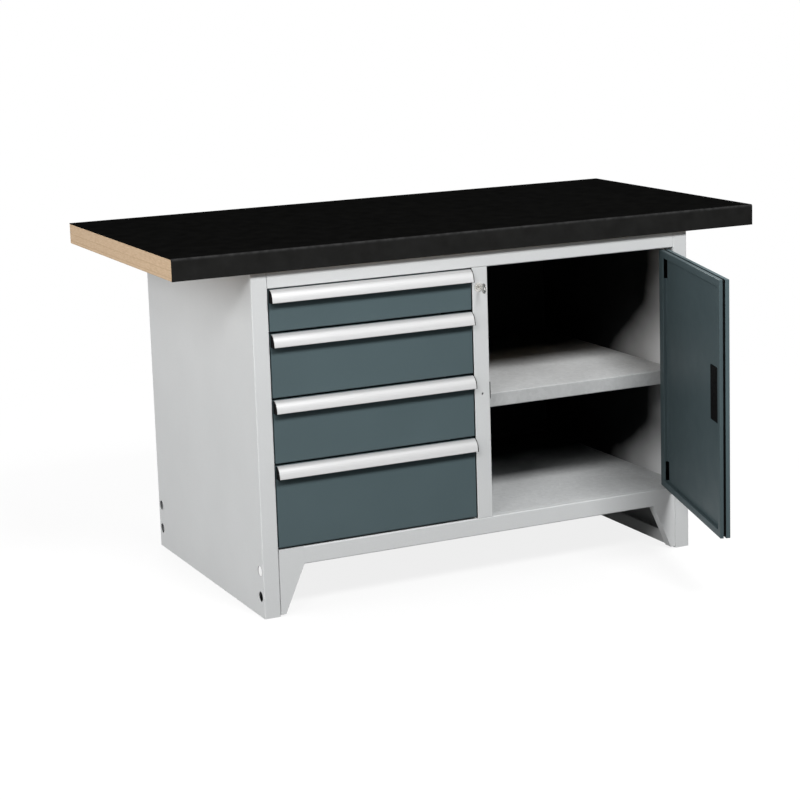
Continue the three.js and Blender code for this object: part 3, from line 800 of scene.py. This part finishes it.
low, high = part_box("lock_key")
centre_z = (low.z + high.z) / 2
bow_y, tip = low.y + KEY_BOW, high.y
start = math.asin(BLADE_HALF / KEY_BOW)
arc = [start + (2 * math.pi - 2 * start) * i / BOW_STEPS for i in range(BOW_STEPS + 1)]
bow = [(bow_y + KEY_BOW * math.cos(a), centre_z + KEY_BOW * math.sin(a)) for a in arc]
blade = [(tip - 0.001, centre_z - BLADE_HALF), (tip, centre_z - 0.0024)]
teeth = [(tip - back, centre_z + z) for back, z in TEETH]
ring = circle(bow_y - RING_SHIFT, centre_z, RING_HOLE, 24)
bm = bmesh.new()
slab(bm, [*bow, *blade, *teeth], (ring,), low.x, high.x, ALONG_X)
key = add_piece("cut_key", bm, nickel, "lock", ("lock_key",), 30)
soften(key, 0.00025, 50)


# Rivet heads on the rear flanges

RIVET_INSET, RIVET_SINK = 0.026, 0.0002
RIVET_START, RIVET_STEP, RIVET_COUNT = 0.16, 0.116, 6
DOME = [(0.0, -0.0016), (0.0018, -0.0013), (0.0032, -0.0006), (0.0038, 0.0), (0.0038, 0.0002),
        (0.0, 0.0002)]

left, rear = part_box("left_side_panel")[0].x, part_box("left_side_panel")[1].y
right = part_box("right_side_panel")[1].x
backwards = Matrix.Rotation(math.radians(90), 4, "X")
bm = bmesh.new()
for x in (left + RIVET_INSET, right - RIVET_INSET):
    for i in range(RIVET_COUNT):
        spot = Vector((x, rear - RIVET_SINK, RIVET_START + i * RIVET_STEP))
        lathe(bm, DOME, Matrix.Translation(spot) @ backwards, 20)
add_piece("rear_rivets", bm, zinc, "bench_body")


# Floor and background

FLOOR_HALF, FLOOR_DROP = 30, 0.0005
FLOOR_GLOW = 0.85
FADE_START, FADE_END = 1.3, 2.6
AMBIENT = 0.04


def background_rays(tree):
    """One for the rays that show the background: from the camera, off gloss or through glass."""
    rays = tree.nodes.new("ShaderNodeLightPath").outputs
    seen = rays["Is Camera Ray"]
    for name in ("Is Glossy Ray", "Is Transmission Ray"):
        either = tree.nodes.new("ShaderNodeMath")
        either.operation = "MAXIMUM"
        tree.links.new(seen, either.inputs[0])
        tree.links.new(rays[name], either.inputs[1])
        seen = either.outputs[0]
    return seen


def stage_material():
    """White floor: it takes the shadow near the object and fades into the white further off."""
    finish = Finish("studio_floor", Roughness=0.9, Specular_IOR_Level=0.0)
    finish.colour(finish.ramp(finish.noise(1.5, 2), (0.3, 0.135), (0.7, 0.145)))
    seen = background_rays(finish.tree)
    glow = finish.node("ShaderNodeEmission")
    glow.inputs["Color"].default_value = (FLOOR_GLOW, FLOOR_GLOW, FLOOR_GLOW, 1)
    finish.join(seen, glow.inputs["Strength"])
    both = finish.node("ShaderNodeAddShader")
    finish.join(finish.shader.outputs["BSDF"], both.inputs[0])
    finish.join(glow.outputs["Emission"], both.inputs[1])
    far = finish.node("ShaderNodeVectorMath")
    far.operation = "LENGTH"
    finish.join(finish.coordinates, far.inputs[0])
    beyond = finish.spread(far.outputs["Value"], FADE_START, FADE_END, 0.0, 1.0)
    white = finish.node("ShaderNodeEmission")
    fade = finish.node("ShaderNodeMixShader")
    finish.join(finish.product(beyond, seen), fade.inputs[0])
    finish.join(both.outputs["Shader"], fade.inputs[1])
    finish.join(white.outputs["Emission"], fade.inputs[2])
    finish.join(fade.outputs["Shader"], finish.surface)
    return finish.material


corners = [(-1, -1), (1, -1), (1, 1), (-1, 1)]
mesh = bpy.data.meshes.new("studio_floor")
mesh.from_pydata([(x * FLOOR_HALF, y * FLOOR_HALF, -FLOOR_DROP) for x, y in corners], [],
                 [(0, 1, 2, 3)])
mesh.materials.append(stage_material())
floor = bpy.data.objects.new("studio_floor", mesh)
scene.collection.objects.link(floor)

world = bpy.data.worlds.new("studio")
scene.world = world
world.use_nodes = True
tree = world.node_tree
tree.nodes.clear()
choice = tree.nodes.new("ShaderNodeMixShader")
tree.links.new(background_rays(tree), choice.inputs[0])
for strength, socket in ((AMBIENT, choice.inputs[1]), (1.0, choice.inputs[2])):
    sky = tree.nodes.new("ShaderNodeBackground")
    sky.inputs["Color"].default_value = (1, 1, 1, 1)
    sky.inputs["Strength"].default_value = strength
    tree.links.new(sky.outputs[0], socket)
tree.links.new(choice.outputs[0], tree.nodes.new("ShaderNodeOutputWorld").inputs["Surface"])


# Lamps and camera

FOCAL_PIXELS, IMAGE_WIDTH, SENSOR_WIDTH = 2123.927809, 800, 36
YAW, PITCH, ROLL = 0.452631, 0.175220, -0.029004
CAMERA_SPOT = (-2.223906, -4.452280, 1.490528)


def lamp(name, spot, aim, size, power):
    """A rectangular area lamp at a spot, turned towards its aim."""
    data = bpy.data.lights.new(name, "AREA")
    data.shape = "RECTANGLE"
    data.size, data.size_y = size
    data.energy = power
    light = bpy.data.objects.new(name, data)
    scene.collection.objects.link(light)
    spot, aim = Vector(spot), Vector(aim)
    light.rotation_mode = "QUATERNION"
    light.rotation_quaternion = (aim - spot).to_track_quat("-Z", "Y")
    light.location = spot


lamp("key", (0.15, -3.6, 4.0), (0, 0.0, 0.4), (1.4, 1.0), 219)
lamp("left_key", (-4.2, -0.2, 1.75), (0, 0.2, 0.4), (3.0, 2.4), 106)
lamp("front_fill", (-3.0, -3.0, 2.95), (0, 0.0, 0.4), (1.2, 1.0), 60)
lamp("right_fill", (4.6, 0.4, 2.8), (0, 0.2, 0.4), (2.2, 2.2), 112)
lamp("overhead", (0.4, 0.8, 4.6), (0, 0.2, 0.0), (3.0, 2.2), 16)
lamp("rear_fill", (0.8, 5.2, 2.8), (0, 0.2, 0.4), (2.6, 2.2), 150)

forward = Vector((math.sin(YAW) * math.cos(PITCH), math.cos(YAW) * math.cos(PITCH),
                  -math.sin(PITCH)))
level = Vector((math.cos(YAW), -math.sin(YAW), 0))
upward = level.cross(forward)
right = level * math.cos(ROLL) + upward * math.sin(ROLL)
upward = upward * math.cos(ROLL) - level * math.sin(ROLL)
data = bpy.data.cameras.new("camera")
data.sensor_fit = "HORIZONTAL"
data.sensor_width = SENSOR_WIDTH
data.lens = SENSOR_WIDTH * FOCAL_PIXELS / IMAGE_WIDTH
data.shift_x, data.shift_y = -0.04, -0.10
data.clip_end = 100
camera = bpy.data.objects.new("camera", data)
scene.collection.objects.link(camera)
turn = Matrix((right, upward, -forward)).transposed()
camera.matrix_world = Matrix.Translation(CAMERA_SPOT) @ turn.to_4x4()
scene.camera = camera
scene.view_settings.view_transform = "Standard"
